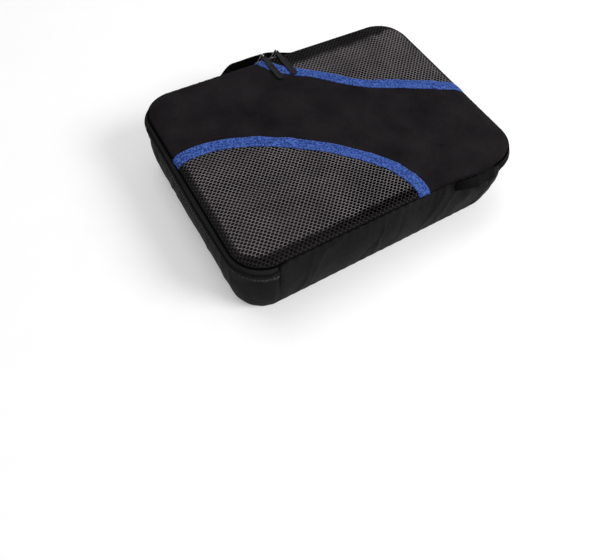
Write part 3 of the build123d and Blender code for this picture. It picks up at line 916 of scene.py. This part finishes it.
def net(name, inside):
    """Knitted net: long six-sided cells of yarn in staggered rows over one window."""
    points, faces, index = [], [], {}
    peak = NET_Y - NET_BAR

    def corner(x, y):
        """Number of the point at a place; neighbouring cells share theirs."""
        key = (round(x * 20), round(y * 20))
        if key not in index:
            px, py = pull_inside(x, y, NET_MARGIN)
            index[key] = len(points)
            points.append((px, py, lid_z(px, py) - NET_SUNK))
        return index[key]

    rows = int(HALF_Y / NET_Y) + 2
    columns = int(HALF_X / NET_X) + 2
    cell = [(0, peak), (-NET_X / 2, NET_BAR), (-NET_X / 2, -NET_BAR), (0, -peak),
            (NET_X / 2, -NET_BAR), (NET_X / 2, NET_BAR)]
    for j in range(-rows, rows + 1):
        for i in range(-columns, columns + 1):
            x, y = (i + 0.5 * (j % 2)) * NET_X, j * NET_Y
            if inside(x, y) < -NET_UNDER or inset(x, y) < -1.0:
                continue
            ring = [corner(x + dx, y + dy) for dx, dy in cell]
            if len(set(ring)) == 6:
                faces.append(ring)
    uvs = [(x * MM, y * MM) for x, y, z in points]
    piece = add_mesh(name, points, faces, uvs)
    # painted light: each point's share of the light seen through the net, low over the rim for
    # painted shade
    shade = piece.data.attributes.new("painted_lit", "FLOAT", "POINT")
    for n, (x, y, z) in enumerate(points):
        shade.data[n].value = net_painted_light(x, y)
    wire = piece.modifiers.new("yarn", "WIREFRAME")
    wire.thickness = NET_THREAD * MM
    wire.use_even_offset = False
    rounder = piece.modifiers.new("round", "SUBSURF")
    rounder.levels = 1
    rounder.render_levels = 1
    return dress(piece, NET)


net_front = over_hinge(net("net_front", in_front_window))
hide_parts("lid_mesh_front")
net_rear = over_hinge(net("net_rear", in_rear_window))
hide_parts("lid_mesh_rear")


# ---------------------------------------------------------------- ribbons and lid seams
def ribbon(name, knots, width, lift):
    """Band along a plan curve, lying on the lid cloth and tucked into the seam."""
    line = curve_points(knots, CURVE_STEPS)
    lengths = [0.0]
    for a, b in zip(line, line[1:]):
        lengths.append(lengths[-1] + hypot(b[0] - a[0], b[1] - a[1]))
    across = spread(-width / 2, width / 2, 1.0)

    def place(i, v):
        x, y = pull_inside(*off_line(line, i, v), -0.5)
        return (x, y, lid_z(x, y) + lift - EDGE_DROP * (2 * abs(v) / width) ** 6)

    piece = grid(name, range(len(line)), across, place)
    change_uvs(piece, lambda n, uv: (lengths[n // len(across)] * MM, uv.y))
    return thicken(piece, BAND_CLOTH)


def ribbon_edge(knots, v, lift):
    """Line on the lid beside a plan curve, as far as the lid seam."""
    line = curve_points(knots, CURVE_STEPS)
    places = [off_line(line, i, v) for i in range(1, len(line) - 1)]
    return [(x, y, lid_z(x, y) + lift) for x, y in places if inset(x, y) > 0.5]


def upright(p):
    """Straight up, wherever the point is."""
    return Vector((0, 0, 1))


for name, knots in (("front", FRONT_CURVE), ("rear", REAR_CURVE)):
    band = dress(ribbon(f"ribbon_{name}", knots, RIBBON, RIBBON_LIFT), RIBBON_BLUE)
    over_hinge(band)
    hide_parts(f"lid_ribbon_{name}")
    back = ribbon(f"ribbon_backing_{name}", knots, BACKING, BACKING_LIFT)
    over_hinge(dress(back, BINDING))
    for edge, side in (("left", -1), ("right", 1)):
        edge_line = ribbon_edge(knots, side * (RIBBON / 2 - RIBBON_SEAM), 0.7)
        seam = stitches(f"ribbon_{name}_stitches_{edge}", edge_line, upright, **RIBBON_STITCH)
        over_hinge(dress(seam, BLUE_THREAD))

binding = strip("lid_binding_tape", 0, ROUND, lambda s: [
    (-3.3, SEAM_Z + 2.6), (-1.6, SEAM_Z + 1.0), (-0.6, SEAM_Z - 0.9), (-1.6, SEAM_Z - 2.5),
    (-1.8, ZIP_Z + 1.5), (-2.3, ZIP_Z + 0.6)], 3, closed=True)
dress(thicken(binding, BINDING_CLOTH), BINDING)
over_hinge(binding)
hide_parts("lid_binding")


def welt_point(s):
    """The seam cord; along the front it sags with the seam and sinks into it."""
    sag = SAG * droop(*plan(s))
    hidden = smooth_step(min(s - ZIP_LENGTH, ROUND - s) / 10)
    return (*plan(s, 0.5 + sag - hidden), SEAM_Z - 0.1 - sag - 0.8 * hidden)


welt_line = [welt_point(s) for s in spread(0, ROUND, 2)[:-1]]
welt = tube("lid_seam_welt", welt_line, WELT_RADIUS, 8, closed=True)
# the cord's near-black colour paints the shade of the seam's groove
over_hinge(dress(welt, GROOVE_SHADE_CORD))


def lid_stitch_runs():
    """Lines just inside the lid seam, broken where the ribbons and nets are."""
    runs = [[]]
    for s in spread(0, ROUND, 1.5):
        x, y = plan(s, -LID_SEAM)
        if max(in_front_window(x, y), in_rear_window(x, y)) < -RIBBON_CLEAR:
            runs[-1].append((x, y, lid_z(x, y) + 0.05))
        elif runs[-1]:
            runs.append([])
    return [run for run in runs if len(run) > 3]


for n, run in enumerate(lid_stitch_runs()):
    seam = stitches(f"lid_stitches_{n}", run, upright, **LID_STITCH)
    over_hinge(dress(seam, THREAD))

# ---------------------------------------------------------------- handle
BOW = [(-x, out) for x, out in BOW_RIGHT[:0:-1]] + BOW_RIGHT
BOW_LINE = curve_points(BOW, 8)
STRAP_ACROSS = spread(-STRAP_HALF, STRAP_HALF, STRAP_STEP)


def strap_point(i, v):
    """Webbing sewn flat at its ends, bowed out and standing up over its middle."""
    x, out = BOW_LINE[i]
    out = max(out, 0.0)
    lift = (STRAP_LIFT + 2) * smooth_step((x + ROOT_X - 18) / 22)
    lift *= 1 - smooth_step((x - 5) / (ROOT_X - 30))
    cup = 0.5 * (v / STRAP_HALF) ** 4
    wave = 0.5 * soft(x / 14, v / 30, 8.1) * min(out / 5, 1)
    return (STRAP_MID + x + STRAP_LEAN * out, STRAP_WALL + out - cup + wave, STRAP_Z + lift + v)


strap = grid("handle_webbing", range(len(BOW_LINE)), STRAP_ACROSS, strap_point)
change_uvs(strap, lambda n, uv: (
    BOW_LINE[n // len(STRAP_ACROSS)][0] * STRAP_STRETCH * MM, uv.y))
dress(thicken(strap, STRAP_THICK, 0.0), WEBBING)
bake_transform(strap)
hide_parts("handle_strap", "handle_root_left", "handle_root_right")


def box_stitch_line(side):
    """Square with one diagonal over the end of the webbing that is sewn to the wall."""
    x1, x2 = sorted((STRAP_MID + side * (ROOT_X - 1.3), STRAP_MID + side * (ROOT_X - 7)))
    z1, z2 = STRAP_Z - STRAP_HALF + 1.5, STRAP_Z + STRAP_HALF - 1.5
    corners = [(x1, z1), (x2, z1), (x2, z2), (x1, z2), (x1, z1), (x2, z2)]
    box = [Vector((x, STRAP_WALL + 0.75, z)) for x, z in corners]
    return [a.lerp(b, k / 12) for a, b in zip(box, box[1:]) for k in range(12)]


for name, side in (("left", -1), ("right", 1)):
    tack = stitches(f"handle_box_stitch_{name}", box_stitch_line(side),
                    lambda p: Vector((0, 1, 0)), **BOX_STITCH)
    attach(dress(tack, THREAD), "base")


# ---------------------------------------------------------------- blank side label
def label_point(x, z):
    """The label is caught in the seam and lies on the wall down to the fold."""
    s = ZIP_LENGTH + (STRAIGHT_X - x)
    out = wall_out(s, z) + 0.35 + 0.8 * smooth_step((SEAM_Z - z) / 4)
    return (*plan(s, out), drawn_down(s, z))


label = grid("side_label", spread(TAG_HIGH.x, TAG_LOW.x, 1.5),
             spread(FOLD_Z + 0.4, SEAM_Z - 0.4, 0.8), label_point)
dress(thicken(label, 1.0), LABEL)
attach(label, "base")
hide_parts("side_tag")

# ---------------------------------------------------------------- metal pieces keep their CAD shape
for side in ("left", "right"):
    for node, material in ((f"slider_{side}", SLIDER_METAL), (f"pull_ring_{side}", RING_METAL),
                           (f"pull_tab_{side}", ENAMEL)):
        piece = bpy.data.objects[node]
        piece.data.materials.clear()
        piece.data.materials.append(material)


# ---------------------------------------------------------------- studio
def camera():
    """The photograph's view, as fitted to points of the lid's outline and the front wall."""
    back = Vector((sin(AZIMUTH) * cos(ELEVATION), -cos(AZIMUTH) * cos(ELEVATION), sin(ELEVATION)))
    x = Vector((0, 0, 1)).cross(back).normalized()
    y = back.cross(x)
    right = x * cos(ROLL) + y * sin(ROLL)
    up = y * cos(ROLL) - x * sin(ROLL)
    made = bpy.data.objects.new("camera", bpy.data.cameras.new("camera"))
    made.data.sensor_width = SENSOR
    made.data.lens = SENSOR * FOCAL_PIXELS / PHOTO_WIDTH
    made.data.clip_start = 0.01
    made.matrix_world = Matrix.Translation((AIM + back * DISTANCE) * MM) @ Matrix(
        (right, up, back)).transposed().to_4x4()
    bpy.context.scene.collection.objects.link(made)
    bpy.context.scene.camera = made


def area_light(name, location, target, size, power):
    """Round area light, in metres and watts."""
    data = bpy.data.lights.new(name, "AREA")
    data.shape = "DISK"
    data.size = size
    data.energy = power
    made = bpy.data.objects.new(name, data)
    made.location = location
    made.rotation_euler = (Vector(target) - Vector(location)).to_track_quat("-Z", "Y").to_euler()
    bpy.context.scene.collection.objects.link(made)


def seen_directly(nodes, links):
    """1 for camera, mirror and glass rays, else 0."""
    path = nodes.new("ShaderNodeLightPath")
    value = path.outputs["Is Camera Ray"]
    for kind in ("Is Glossy Ray", "Is Transmission Ray"):
        add = nodes.new("ShaderNodeMath")
        add.operation = "MAXIMUM"
        links.new(value, add.inputs[0])
        links.new(path.outputs[kind], add.inputs[1])
        value = add.outputs["Value"]
    return value


def floor_material():
    """Pale floor whose own light, seen directly only, takes it up to white far away."""
    made, nodes, links, shader = new_material("pale_floor", grey(0.85), 0.8)
    solid = nodes.new("ShaderNodeTexCoord")
    grain = texture(nodes, links, "ShaderNodeTexNoise", 40, solid.outputs["Object"], Detail=3)
    links.new(ramp(nodes, links, grain.outputs["Fac"], grey(0.83), grey(0.87)),
              shader.inputs["Base Color"])
    shader.inputs["Emission Color"].default_value = (1, 1, 1, 1)
    away = nodes.new("ShaderNodeVectorMath")
    away.operation = "LENGTH"
    links.new(solid.outputs["Object"], away.inputs[0])
    rise = map_range(nodes, links, away.outputs["Value"], From_Min=GLOW_FROM, From_Max=GLOW_TO,
                     To_Min=FLOOR_GLOW, To_Max=FAR_GLOW)
    glow = nodes.new("ShaderNodeMath")
    glow.operation = "MULTIPLY"
    links.new(seen_directly(nodes, links), glow.inputs[0])
    links.new(rise, glow.inputs[1])
    links.new(glow.outputs["Value"], shader.inputs["Emission Strength"])
    return made


def studio():
    """White surroundings, a pale floor and two soft lights."""
    corners = [(-1, -1), (1, -1), (1, 1), (-1, 1)]
    floor = add_mesh("floor", [(FLOOR_HALF * x, FLOOR_HALF * y, 0) for x, y in corners],
                     [(0, 1, 2, 3)])
    floor.data.materials.append(floor_material())
    world = bpy.data.worlds.new("studio")
    world.use_nodes = True
    nodes, links = world.node_tree.nodes, world.node_tree.links
    background = nodes["Background"]
    background.inputs["Color"].default_value = (1, 1, 1, 1)
    level = map_range(nodes, links, seen_directly(nodes, links), To_Min=WORLD_LEVEL, To_Max=1.0)
    links.new(level, background.inputs["Strength"])
    bpy.context.scene.world = world
    area_light("key", (0.75, -0.9, 1.1), (0, 0, 0.03), 0.7, 15)
    area_light("top", (-0.2, 0.5, 1.4), (0, 0, 0.05), 0.9, 5)
    bpy.context.scene.view_settings.view_transform = "Standard"


camera()
studio()
